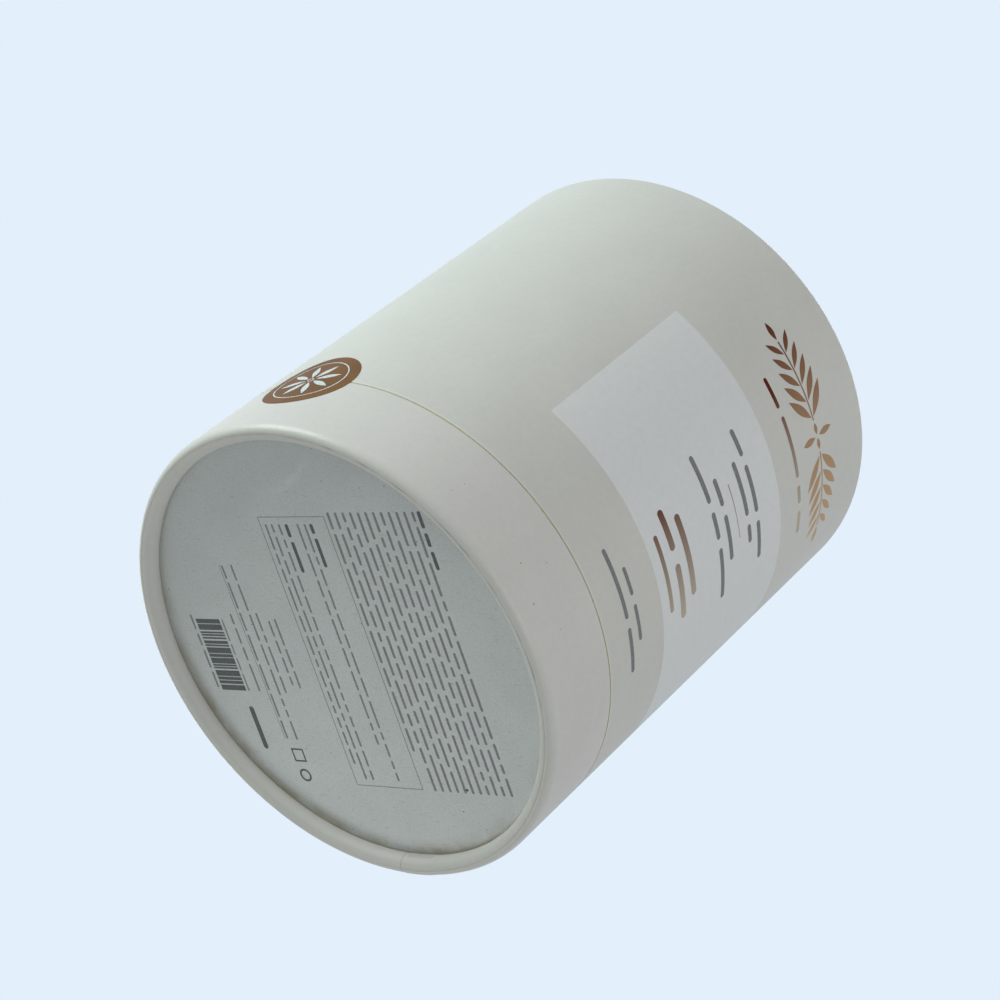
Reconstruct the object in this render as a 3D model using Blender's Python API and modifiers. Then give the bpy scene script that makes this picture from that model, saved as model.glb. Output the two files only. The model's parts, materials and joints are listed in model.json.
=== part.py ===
"""A round paper box with a tall lift-off lid, in metres, standing on its base with +Z up.

Two board tubes, each closed by a recessed disc behind a curled edge, meet at a low parting line. A neck
tube glued into the short base guides the tall lid, and a foam puck in the neck holds five small vials.
"""

import math

import bmesh
import bpy
from mathutils import Matrix, Vector

# Outside of the closed box
OUTER_DIAMETER = 0.1000
HEIGHT = 0.1210
PARTING_HEIGHT = 0.0201
PARTING_GAP = 0.0003

# Board and paper, and the line of glue or air left between two layers
TUBE_WALL = 0.0018
NECK_WALL = 0.0015
DISC_BOARD = 0.0020
INSERT_CARD = 0.0005
PAPER = 0.0003
GLUE_LINE = 0.0003

# The curled edge that closes each tube over its disc: its width, the narrow flat that it stands on, and
# how deep the disc lies behind it
CURL_WIDTH = 0.0039
CURL_LAND = 0.0008
DISC_RECESS = 0.0032
CURL_STEPS = 4

# The neck: its rise above the parting line, its running fit in the lid and its paper's turn-in
NECK_RISE = 0.0300
NECK_FIT = 0.0003
NECK_TURN_IN = 0.0120

# The insert: how far its top lies under the neck's edge, and its ring of pockets
INSERT_DROP = 0.0060
POCKET_DIAMETER = 0.0186
POCKET_FLOOR = 0.0060
POCKET_RIM = 0.0090
POCKET_COUNT = 5

# The round foil seal across the parting line, which is slit there
SEAL_DIAMETER = 0.0202
SEAL_FOIL = 0.0002
SEAL_GAP = 0.0002
SEAL_ANGLE = math.radians(173.8)

SEGMENTS = 64
POCKET_SEGMENTS = 32
SHARP_ANGLE = math.radians(30)
OVERRUN = 0.0020
MERGE = 0.00001

# What the sizes above give
RADIUS = OUTER_DIAMETER / 2
TUBE_INSET = PAPER + GLUE_LINE
TUBE_BORE = RADIUS - TUBE_INSET - TUBE_WALL
CURL_ROUND = (CURL_WIDTH - CURL_LAND) / 2
CURL_TOP = DISC_RECESS - GLUE_LINE
DISC_RADIUS = TUBE_BORE - GLUE_LINE
DISC_FOOT = DISC_RECESS + PAPER + GLUE_LINE
DISC_TOP = DISC_FOOT + DISC_BOARD
LINING_FOOT = DISC_TOP + GLUE_LINE
LINING_TOP = LINING_FOOT + PAPER
BASE_LENGTH = PARTING_HEIGHT - PARTING_GAP / 2
LID_LENGTH = HEIGHT - PARTING_HEIGHT - PARTING_GAP / 2
NECK_OUTSIDE = TUBE_BORE - NECK_FIT
NECK_RADIUS = NECK_OUTSIDE - PAPER - GLUE_LINE
NECK_BORE = NECK_RADIUS - NECK_WALL
NECK_INSIDE = NECK_BORE - GLUE_LINE - PAPER
NECK_TOP = PARTING_HEIGHT + NECK_RISE
INSERT_RADIUS = NECK_INSIDE - GLUE_LINE
CARD_FOOT = NECK_TOP - INSERT_DROP - INSERT_CARD
FOAM_FOOT = LINING_TOP + GLUE_LINE
FOAM_TOP = CARD_FOOT - GLUE_LINE
POCKET_RING = INSERT_RADIUS - POCKET_RIM - POCKET_DIAMETER / 2
SEAL_INSIDE = RADIUS + SEAL_GAP


def clear_scene():
    for thing in list(bpy.data.objects):
        bpy.data.objects.remove(thing, do_unlink=True)


def collection(name):
    made = bpy.data.collections.new(name)
    bpy.context.scene.collection.children.link(made)
    return made


def finish(name, colour, roughness, metallic=0.0):
    """A Principled material of one colour, in linear values."""
    made = bpy.data.materials.new(name)
    made.use_nodes = True
    shader = made.node_tree.nodes["Principled BSDF"]
    shader.inputs["Base Color"].default_value = (*colour, 1.0)
    shader.inputs["Roughness"].default_value = roughness
    shader.inputs["Metallic"].default_value = metallic
    made.diffuse_color = (*colour, 1.0)
    return made


def frame_at(name, height, turned_over=False):
    """An empty on the box's axis that carries one half of the box."""
    made = bpy.data.objects.new(name, None)
    made.location.z = height
    made.rotation_euler.x = math.pi if turned_over else 0
    BOX.objects.link(made)
    return made


def add_object(name, mesh, material, parent, foot=0):
    """Names a finished mesh, gives it its material and seats it on its parent's axis at a height."""
    made = bpy.data.objects.new(name, mesh)
    mesh.materials.append(material)
    made.parent = parent
    made.location.z = foot
    BOX.objects.link(made)
    return made


def turned(name, outline, material, parent):
    """A body of revolution about +Z from a closed outline of (radius, height) points, outer side first."""
    shape = bmesh.new()
    points = [shape.verts.new((radius, 0, height)) for radius, height in outline]
    for first, second in zip(points, points[1:] + points[:1]):
        shape.edges.new((first, second))
    mesh = bpy.data.meshes.new(name)
    shape.to_mesh(mesh)
    shape.free()
    made = add_object(name, mesh, material, parent)
    spin = made.modifiers.new("Turn", "SCREW")
    spin.steps = SEGMENTS
    spin.render_steps = SEGMENTS
    spin.use_merge_vertices = True
    spin.merge_threshold = MERGE
    spin.use_smooth_shade = True
    return made


def disc(name, radius, thickness, material, parent, foot):
    """A flat round sheet whose under side lies at the foot height."""
    shape = bmesh.new()
    bmesh.ops.create_cone(
        shape, cap_ends=True, segments=SEGMENTS, radius1=radius, radius2=radius, depth=thickness,
        matrix=Matrix.Translation((0, 0, thickness / 2)),
    )
    mesh = bpy.data.meshes.new(name)
    shape.to_mesh(mesh)
    shape.free()
    mesh.shade_smooth()
    mesh.set_sharp_from_angle(angle=SHARP_ANGLE)
    return add_object(name, mesh, material, parent, foot)


def punch(name, diameter, length, centre, direction, segments):
    """A round cutter whose axis runs through the centre point along a direction."""
    turn = Vector(direction).to_track_quat("Z", "Y").to_matrix().to_4x4()
    shape = bmesh.new()
    bmesh.ops.create_cone(
        shape, cap_ends=True, segments=segments, radius1=diameter / 2, radius2=diameter / 2, depth=length,
        matrix=Matrix.Translation(centre) @ turn,
    )
    mesh = bpy.data.meshes.new(name)
    shape.to_mesh(mesh)
    shape.free()
    made = bpy.data.objects.new(name, mesh)
    made.hide_render = True
    made.display_type = "WIRE"
    CUTTERS.objects.link(made)
    return made


def cut(body, cutter, operation="DIFFERENCE"):
    step = body.modifiers.new(cutter.name, "BOOLEAN")
    step.operation = operation
    step.object = cutter


def arc(centre_radius, centre_height, size, start, end):
    """Points of an arc in the outline plane, from one angle in degrees to the other."""
    points = []
    for step in range(CURL_STEPS + 1):
        angle = math.radians(start + (end - start) * step / CURL_STEPS)
        points.append((centre_radius + size * math.cos(angle), centre_height + size * math.sin(angle)))
    return points


def curl(length, inset):
    """The outline of a tube's outer side, a layer's inset below the skin: down the wall from its open end,
    round the curl, over the land that it stands on, and up the curl's inner face."""
    outer_centre = RADIUS - CURL_ROUND
    inner_centre = RADIUS - CURL_WIDTH + CURL_ROUND
    size = CURL_ROUND - inset
    return [
        (RADIUS - inset, length),
        *arc(outer_centre, CURL_ROUND, size, 0, -90),
        *arc(inner_centre, CURL_ROUND, size, -90, -180),
        (RADIUS - CURL_WIDTH + inset, CURL_TOP),
    ]


def curled_tube(name, length, parent):
    """A board tube whose foot is curled inwards, so that the curl's top makes a ledge for the disc."""
    bore = [(TUBE_BORE, CURL_TOP), (TUBE_BORE, length)]
    return turned(name, curl(length, TUBE_INSET) + bore, BOARD, parent)


def curled_wrap(name, length, parent):
    """The covering paper, which follows the tube's wall and goes round the curl to the disc."""
    return turned(name, curl(length, 0) + curl(length, PAPER)[::-1], WRAP_PAPER, parent)


def base(parent):
    """The short half: its tube and wrap, and the disc with the printed label outside and paper inside."""
    curled_tube("base_tube", BASE_LENGTH, parent)
    curled_wrap("base_wrap", BASE_LENGTH, parent)
    disc("base_label", DISC_RADIUS, PAPER, LABEL_PAPER, parent, DISC_RECESS)
    disc("base_disc", DISC_RADIUS, DISC_BOARD, BOARD, parent, DISC_FOOT)
    disc("base_floor_paper", INSERT_RADIUS, PAPER, LINING_PAPER, parent, LINING_FOOT)


def lid(parent):
    """The tall half, made of the same layers, in a frame that is turned over at the top of the box."""
    curled_tube("lid_tube", LID_LENGTH, parent)
    curled_wrap("lid_wrap", LID_LENGTH, parent)
    disc("lid_top_paper", DISC_RADIUS, PAPER, WRAP_PAPER, parent, DISC_RECESS)
    disc("lid_disc", DISC_RADIUS, DISC_BOARD, BOARD, parent, DISC_FOOT)
    disc("lid_ceiling_paper", DISC_RADIUS, PAPER, LINING_PAPER, parent, LINING_FOOT)


def neck(parent):
    """The shoulder tube, glued inside the base, and the paper that is turned in over its top edge."""
    foot = LINING_FOOT
    tube_top = NECK_TOP - TUBE_INSET
    turned(
        "neck_tube",
        [(NECK_RADIUS, tube_top), (NECK_RADIUS, foot), (NECK_BORE, foot), (NECK_BORE, tube_top)],
        BOARD, parent,
    )
    turn_in = NECK_TOP - NECK_TURN_IN
    turned(
        "neck_cover",
        [
            (NECK_OUTSIDE, NECK_TOP), (NECK_OUTSIDE, foot), (NECK_OUTSIDE - PAPER, foot),
            (NECK_OUTSIDE - PAPER, NECK_TOP - PAPER), (NECK_INSIDE + PAPER, NECK_TOP - PAPER),
            (NECK_INSIDE + PAPER, turn_in), (NECK_INSIDE, turn_in), (NECK_INSIDE, NECK_TOP),
        ],
        LINING_PAPER, parent,
    )


def insert(parent):
    """The foam puck with a ring of blind round pockets, under a thin card with the same holes."""
    foam = disc("insert_foam", INSERT_RADIUS, FOAM_TOP - FOAM_FOOT, FOAM, parent, FOAM_FOOT)
    card = disc("insert_card", INSERT_RADIUS, INSERT_CARD, LINING_PAPER, parent, CARD_FOOT)
    pocket_foot = FOAM_FOOT + POCKET_FLOOR
    pocket_length = NECK_TOP - pocket_foot
    for index in range(POCKET_COUNT):
        angle = math.tau * index / POCKET_COUNT - math.pi / 2
        centre = (
            POCKET_RING * math.cos(angle), POCKET_RING * math.sin(angle), pocket_foot + pocket_length / 2,
        )
        pocket = punch(
            f"pocket_punch_{index + 1}", POCKET_DIAMETER, pocket_length, centre, (0, 0, 1), POCKET_SEGMENTS,
        )
        cut(foam, pocket)
        cut(card, pocket)


def seal_half(name, parent, foot, top, die):
    """One half of the foil seal: a band of thin foil on the wall, kept only inside the round die.

    Its foot and top are heights along the parent's axis."""
    outside = SEAL_INSIDE + SEAL_FOIL
    band = [(outside, top), (outside, foot), (SEAL_INSIDE, foot), (SEAL_INSIDE, top)]
    cut(turned(name, band, FOIL, parent), die, "INTERSECT")


def seal(base_parent, lid_parent):
    """The round foil seal, centred on the parting line and slit along it."""
    direction = Vector((math.cos(SEAL_ANGLE), math.sin(SEAL_ANGLE), 0))
    centre = direction * RADIUS
    centre.z = PARTING_HEIGHT
    die = punch("seal_die", SEAL_DIAMETER, RADIUS, centre, direction, SEGMENTS)
    reach = SEAL_DIAMETER / 2 + OVERRUN
    seal_half("seal_base_half", base_parent, BASE_LENGTH - reach, BASE_LENGTH, die)
    seal_half("seal_lid_half", lid_parent, LID_LENGTH - reach, LID_LENGTH, die)


clear_scene()
BOX = collection("round_box")
CUTTERS = collection("cutters")
BOARD = finish("grey_board", (0.32, 0.29, 0.23), 0.90)
WRAP_PAPER = finish("pearl_wrap_paper", (0.66, 0.65, 0.62), 0.45)
LABEL_PAPER = finish("speckled_label_paper", (0.42, 0.45, 0.44), 0.60)
LINING_PAPER = finish("white_lining_paper", (0.72, 0.71, 0.68), 0.70)
FOAM = finish("white_foam", (0.80, 0.80, 0.78), 0.95)
FOIL = finish("copper_foil", (0.36, 0.19, 0.09), 0.35, 0.85)

base_frame = frame_at("base_frame", 0)
lid_frame = frame_at("lid_frame", HEIGHT, turned_over=True)
base(base_frame)
lid(lid_frame)
neck(base_frame)
insert(base_frame)
seal(base_frame, lid_frame)
bpy.context.view_layer.update()
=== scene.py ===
import json
import math
import random

import bmesh
import bpy
from mathutils import Matrix, Vector


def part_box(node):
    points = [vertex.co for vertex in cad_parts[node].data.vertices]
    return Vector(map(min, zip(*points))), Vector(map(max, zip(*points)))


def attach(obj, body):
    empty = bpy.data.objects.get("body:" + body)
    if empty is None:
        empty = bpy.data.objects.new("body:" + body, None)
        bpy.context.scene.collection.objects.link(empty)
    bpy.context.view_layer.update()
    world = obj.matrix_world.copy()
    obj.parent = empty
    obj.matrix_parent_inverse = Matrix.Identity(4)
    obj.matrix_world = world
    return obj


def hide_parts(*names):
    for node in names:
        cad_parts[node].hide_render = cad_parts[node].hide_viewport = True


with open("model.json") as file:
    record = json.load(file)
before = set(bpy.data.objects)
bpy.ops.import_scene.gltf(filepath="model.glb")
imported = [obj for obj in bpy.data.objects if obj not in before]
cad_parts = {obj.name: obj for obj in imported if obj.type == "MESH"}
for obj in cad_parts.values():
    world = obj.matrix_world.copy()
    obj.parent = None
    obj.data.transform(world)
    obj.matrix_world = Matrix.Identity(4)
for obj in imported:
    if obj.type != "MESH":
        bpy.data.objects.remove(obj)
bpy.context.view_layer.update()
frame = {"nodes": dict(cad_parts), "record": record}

# The camera: a long lens below the box, at the front left, that looks up at the printed foot. It is
# rolled over to one side, so that the box lies askew in the picture with its lid to the upper right.
LENS = 101.1
CAMERA_AIM = Vector((-0.0030, 0.0020, 0.0604))
CAMERA_DISTANCE = 0.5823
CAMERA_AZIMUTH = math.radians(-33.80)
CAMERA_ELEVATION = math.radians(-43.29)
CAMERA_ROLL = math.radians(50.62)


def towards(azimuth, elevation):
    """The direction from the box to a place round it. Azimuth 0 is the printed front, -Y."""
    flat = math.cos(elevation)
    return Vector((math.sin(azimuth) * flat, -math.cos(azimuth) * flat, math.sin(elevation)))


camera = bpy.data.objects.new("camera", bpy.data.cameras.new("camera"))
bpy.context.scene.collection.objects.link(camera)
camera.data.lens = LENS
camera.data.clip_start = CAMERA_DISTANCE / 50
camera.location = CAMERA_AIM + towards(CAMERA_AZIMUTH, CAMERA_ELEVATION) * CAMERA_DISTANCE
camera.rotation_mode = "QUATERNION"
camera.rotation_quaternion = (
    towards(CAMERA_AZIMUTH, CAMERA_ELEVATION).to_track_quat("Z", "Y")
    @ Matrix.Rotation(CAMERA_ROLL, 3, "Z").to_quaternion()
)
bpy.context.scene.camera = camera


# The board tubes: two lengths of grey board wound in a spiral, cut square at the parting line, where
# the cut leaves a fine burr that shows between the papers. Their other ends are curled inwards under
# the covering paper, and the curl's top is the ledge for the disc.
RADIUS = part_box("lid_wrap")[1].x
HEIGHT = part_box("lid_wrap")[1].z
BASE_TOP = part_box("base_wrap")[1].z
LID_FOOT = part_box("lid_wrap")[0].z
GLUE_LINE = 0.0003
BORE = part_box("neck_cover")[1].x + GLUE_LINE
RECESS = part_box("base_label")[0].z
PAPER = 0.00015
CURL_WIDTH = 0.0036
CURL_OUTER = {"base": (0.0014, 0.0020), "lid": (0.0010, 0.0011)}
CURL_GROOVE = 0.0004
GROOVE_DEPTH = 0.00008
CURL_DEPTH = 0.0022
BOARD_PROUD = 0.00014
BOARD_BURR = 0.00008
CUT_ROUND = {"base": (0.00011, 0.00035), "lid": (0.00002, 0.00002)}
TURN_STEPS = 360
ARC_STEPS = 12
TOUCH = 0.000002
CREASE = math.radians(35)
BOARD_COLOUR = (0.58, 0.55, 0.36)
BOARD_FIBRE = (0.44, 0.41, 0.27)
BOARD_SEAM = (0.16, 0.14, 0.10)
BOARD_FIBRE_SCALE = 1400
BOARD_RELIEF = 0.00006
SPIRAL_PITCH = 0.074
SPIRAL_SEAM_SHARE = 0.006


def new_object(name, shape, finish):
    """Makes a finished bmesh an object with smooth rounds and crisp edges."""
    mesh = bpy.data.meshes.new(name)
    shape.to_mesh(mesh)
    shape.free()
    mesh.shade_smooth()
    mesh.set_sharp_from_angle(angle=CREASE)
    mesh.materials.append(finish)
    made = bpy.data.objects.new(name, mesh)
    bpy.context.scene.collection.objects.link(made)
    return made


def turned(outline, closed=True, steps=TURN_STEPS):
    """Spins an outline of (radius, height) points once round the box's axis."""
    shape = bmesh.new()
    points = [shape.verts.new((radius, 0, height)) for radius, height in outline]
    ends = points[1:] + points[:1] if closed else points[1:]
    for first, second in zip(points, ends):
        shape.edges.new((first, second))
    bmesh.ops.spin(
        shape, geom=shape.verts[:] + shape.edges[:], cent=(0, 0, 0), axis=(0, 0, 1),
        angle=math.tau, steps=steps, use_merge=True,
    )
    bmesh.ops.remove_doubles(shape, verts=shape.verts, dist=TOUCH / 10)
    bmesh.ops.recalc_face_normals(shape, faces=shape.faces)
    return shape


def arc(centre_radius, centre_height, width, height, start, end):
    """Points of a round or oval arc in the outline plane, from one angle in degrees to the other."""
    angles = [math.radians(start + (end - start) * step / ARC_STEPS) for step in range(ARC_STEPS + 1)]
    return [(centre_radius + width * math.cos(a), centre_height + height * math.sin(a)) for a in angles]


def curl(half, length, inset):
    """A tube's outer side, an inset below its skin: from the cut edge, which is rounded on the skin
    alone, down the wall, round the curl with the fine groove on its crest, and back under its inner
    side to the disc."""
    wide, high = CURL_OUTER[half]
    inner = CURL_WIDTH - wide - CURL_GROOVE
    middle = RADIUS - wide - CURL_GROOVE
    tuck = -180 - math.degrees(math.asin((RECESS - TOUCH - CURL_DEPTH) / (CURL_DEPTH - inset)))
    cut = [(RADIUS - inset, length)]
    if inset == 0:
        into, along = CUT_ROUND[half]
        cut = arc(RADIUS - into, length - along, into, along, 90, 0)
    return [
        *cut,
        *arc(RADIUS - wide, high, wide - inset, high - inset, 0, -90),
        (RADIUS - wide - CURL_GROOVE / 2, inset + GROOVE_DEPTH),
        *arc(middle, CURL_DEPTH, inner - inset, CURL_DEPTH - inset, -90, tuck),
    ]


def turn_over(shape):
    """Puts a lid's piece, made foot down, at the top of the box."""
    over = Matrix.Translation((0, 0, HEIGHT)) @ Matrix.Rotation(math.pi, 4, "X")
    bmesh.ops.transform(shape, matrix=over, verts=shape.verts)


def material(name, colour, roughness, **sockets):
    """A material with its plain numbers on the shader's own sockets. Socket names take _ for a space."""
    made = bpy.data.materials.new(name)
    made.use_nodes = True
    shader = made.node_tree.nodes["Principled BSDF"]
    shader.inputs["Base Color"].default_value = (*colour, 1)
    shader.inputs["Roughness"].default_value = roughness
    for socket, value in sockets.items():
        shader.inputs[socket.replace("_", " ")].default_value = value
    made.diffuse_color = (*colour, 1)
    return made


def node(made, kind, inputs, **settings):
    """Adds a node. An input is another node's output, which is linked, or a plain value."""
    step = made.node_tree.nodes.new(kind)
    for setting, value in settings.items():
        setattr(step, setting, value)
    for socket, value in inputs.items():
        if isinstance(value, bpy.types.NodeSocket):
            made.node_tree.links.new(value, step.inputs[socket])
        else:
            step.inputs[socket].default_value = value
    return step


def place(made):
    """The spot on the piece, in metres."""
    return node(made, "ShaderNodeTexCoord", {}).outputs["Object"]


def noise(made, scale, detail=3, stretch=(1, 1, 1)):
    """Even noise from 0 to 1, with a number of swells in each metre, stretched along an axis."""
    spot = node(made, "ShaderNodeMapping", {"Vector": place(made), "Scale": stretch}).outputs[0]
    swells = {"Vector": spot, "Scale": scale, "Detail": detail}
    return node(made, "ShaderNodeTexNoise", swells).outputs[0]


def spread(made, value, low, high, to_low=0.0, to_high=1.0):
    """Carries a value from one range to another and clips it there."""
    return node(
        made, "ShaderNodeMapRange",
        {"Value": value, "From Min": low, "From Max": high, "To Min": to_low, "To Max": to_high},
    ).outputs[0]


def maths(made, operation, first, second=0.0):
    """One sum on two values."""
    return node(made, "ShaderNodeMath", {0: first, 1: second}, operation=operation).outputs[0]


def blended(made, share, first, second):
    """A colour between two, each a plain colour or another node's output."""
    inputs = {0: share}
    for socket, colour in ((6, first), (7, second)):
        inputs[socket] = (*colour, 1) if isinstance(colour, tuple) else colour
    return node(made, "ShaderNodeMix", inputs, data_type="RGBA").outputs[2]


def wire(made, socket, value):
    """Links a node's output to one of the shader's sockets."""
    made.node_tree.links.new(value, made.node_tree.nodes["Principled BSDF"].inputs[socket])


def relief(made, height, depth):
    """Raises the surface by a height from 0 to 1 times a depth in metres."""
    wire(made, "Normal", node(made, "ShaderNodeBump", {"Height": height, "Distance": depth}).outputs[0])


def grey_board():
    """Wound board: fine fibres, and the thin dark spiral where one turn of the strip meets the next."""
    made = material("grey_board", BOARD_COLOUR, 0.9, Specular_IOR_Level=0.2)
    fibre = noise(made, BOARD_FIBRE_SCALE, detail=5, stretch=(1, 1, 3))
    fibres = blended(made, spread(made, fibre, 0.35, 0.7), BOARD_COLOUR, BOARD_FIBRE)
    turn = node(made, "ShaderNodeTexGradient", {"Vector": place(made)}, gradient_type="RADIAL")
    height = node(made, "ShaderNodeSeparateXYZ", {"Vector": place(made)}).outputs["Z"]
    climb = maths(made, "DIVIDE", height, SPIRAL_PITCH)
    spiral = maths(made, "FRACT", maths(made, "ADD", climb, turn.outputs[1]))
    seam = maths(made, "LESS_THAN", spiral, SPIRAL_SEAM_SHARE)
    wire(made, "Base Color", blended(made, seam, fibres, BOARD_SEAM))
    relief(made, maths(made, "SUBTRACT", fibre, seam), BOARD_RELIEF)
    return made


BOARD = grey_board()
for half, length in (("base", BASE_TOP), ("lid", HEIGHT - LID_FOOT)):
    end = length + BOARD_PROUD
    burr = [(RADIUS - BOARD_BURR, end), (RADIUS - BOARD_BURR, length + TOUCH)]
    side = curl(half, length + TOUCH, PAPER + TOUCH)
    shape = turned(burr + side + [(BORE, side[-1][1]), (BORE, end)])
    if half == "lid":
        turn_over(shape)
    board_tube = new_object(f"{half}_board_tube", shape, BOARD)
    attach(board_tube, half)
    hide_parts(f"{half}_tube")


# The discs and the neck tube: flat rounds of the same board that close both tubes, and the shoulder
# tube glued into the base. Paper covers all of them, so the frame's own solids carry the board's finish.
for name in ("base_disc", "lid_disc", "neck_tube"):
    frame["nodes"][name].data.materials.clear()
    frame["nodes"][name].data.materials.append(BOARD)


# The covering paper: pearly off-white, glued round each tube and over the curl to the disc. Its ends lap
# in one seam at the right side, and its cut edges show at the parting line, where the base's is rounded
# over and the lid's is rubbed pale, a paleness that also paints in the highlight of a rounded edge.
WRAP_COLOURS = {"base": (0.716, 0.701, 0.674), "lid": (0.691, 0.690, 0.649)}
WRAP_SHADE_SHARE = 0.91
# The curl's greener tint is painted light: the greenish light that falls on the curl.
CURL_PAINTED_LIGHT_TINT = (0.97, 1.01, 0.965)
WRAP_GRAIN_SCALE = 2600
WRAP_MOTTLE_SCALE = 700
WRAP_CLOUD_SCALE = 55
WRAP_SHEEN_SCALE = 900
WRAP_RELIEF = 0.000018
SEAM_ANGLE = math.radians(-2)
LAP_ANGLE = math.radians(9)
LAP_RAMP = math.radians(1.5)
LAP_RISE = 0.00009
SEAM_LINE = math.radians(0.22)
SEAM_COLOUR = (0.48, 0.47, 0.42)
# Dark patches in the groove on the foot's crest, towards one side: dirt, and painted shade in the
# groove.
CREST_DIRT_AND_SHADE_COLOUR = (0.34, 0.34, 0.30)
CREST_DIRT_AND_SHADE_RING = RADIUS - CURL_OUTER["base"][0] - CURL_GROOVE / 2
CREST_DIRT_AND_SHADE_HALF = 0.0003
CREST_DIRT_AND_SHADE_TOP = 0.0005
CREST_DIRT_AND_SHADE_PATCH_SCALE = 170
CREST_DIRT_AND_SHADE_SIDE = math.radians(-125)
CREST_DIRT_AND_SHADE_REACH = RADIUS * 0.8
FLECK_COLOUR = (0.25, 0.22, 0.18)
FLECK_SCALE = 260
FLECK_REACH = 0.05
FLECK_SHARE = 0.6
FLECK_RARE = 0.82
# Pale edges: part rubbing, part a painted highlight where a rounded edge would catch the light.
RUBBED_AND_HIGHLIGHT_COLOUR = (0.84, 0.83, 0.79)
RUBBED_AND_HIGHLIGHT_REACH = 0.0006
RUBBED_AND_HIGHLIGHT = {"base": 0.0, "lid": 0.55}
# The curl's inner lip is painted paler: rubbing, and a painted highlight on the thin lip.
LIP_REACH = 0.0008
LIP_RUBBED_AND_HIGHLIGHT = 0.5
BURNISH = 0.22
BURNISH_RAMP = 0.00012
COLUMN = math.tau / TURN_STEPS
SEAM_DRAWN = COLUMN * 0.9


def lap_seam(shape):
    """Lifts the paper's last stretch where it lies over its other end, and draws its last row of
    corners up to the seam, so that the cut edge is a crisp step."""
    for corner in shape.verts:
        ahead = (SEAM_ANGLE - math.atan2(corner.co.y, corner.co.x)) % math.tau
        if not COLUMN / 2 < ahead < LAP_ANGLE:
            continue
        core = Vector((corner.co.x, corner.co.y, 0)).normalized() * (RADIUS - CURL_WIDTH / 2)
        core.z = max(corner.co.z, CURL_WIDTH / 2)
        lift = LAP_RISE * min(1, (LAP_ANGLE - ahead) / LAP_RAMP)
        corner.co += (corner.co - core).normalized() * lift
        if ahead < COLUMN * 1.5:
            corner.co.rotate(Matrix.Rotation(SEAM_DRAWN, 3, "Z"))


def from_axis(made):
    """The distance from the box's axis."""
    flat = node(made, "ShaderNodeMapping", {"Vector": place(made), "Scale": (1, 1, 0)}).outputs[0]
    return node(made, "ShaderNodeVectorMath", {0: flat}, operation="LENGTH").outputs["Value"]


def along_side(made, angle):
    """The distance from the axis towards one side of the box. An angle of 0 is the right side, +X."""
    turned_spot = node(made, "ShaderNodeMapping", {"Vector": place(made), "Rotation": (0, 0, -angle)})
    return node(made, "ShaderNodeSeparateXYZ", {"Vector": turned_spot.outputs[0]}).outputs["X"]


def band(made, value, middle, half):
    """1 at a middle value, falling to 0 at half a width to both sides."""
    return spread(made, maths(made, "ABSOLUTE", maths(made, "SUBTRACT", value, middle)), 0, half, 1, 0)


def flecks(made, scale, reach):
    """Small separate specks: 1 inside a speck, 0 between them."""
    cells = node(made, "ShaderNodeTexVoronoi", {"Vector": place(made), "Scale": scale})
    chosen = maths(made, "GREATER_THAN", cells.outputs["Color"], FLECK_RARE)
    speck = spread(made, cells.outputs["Distance"], reach, reach / 2, 0, 1)
    return maths(made, "MULTIPLY", speck, chosen)


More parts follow.
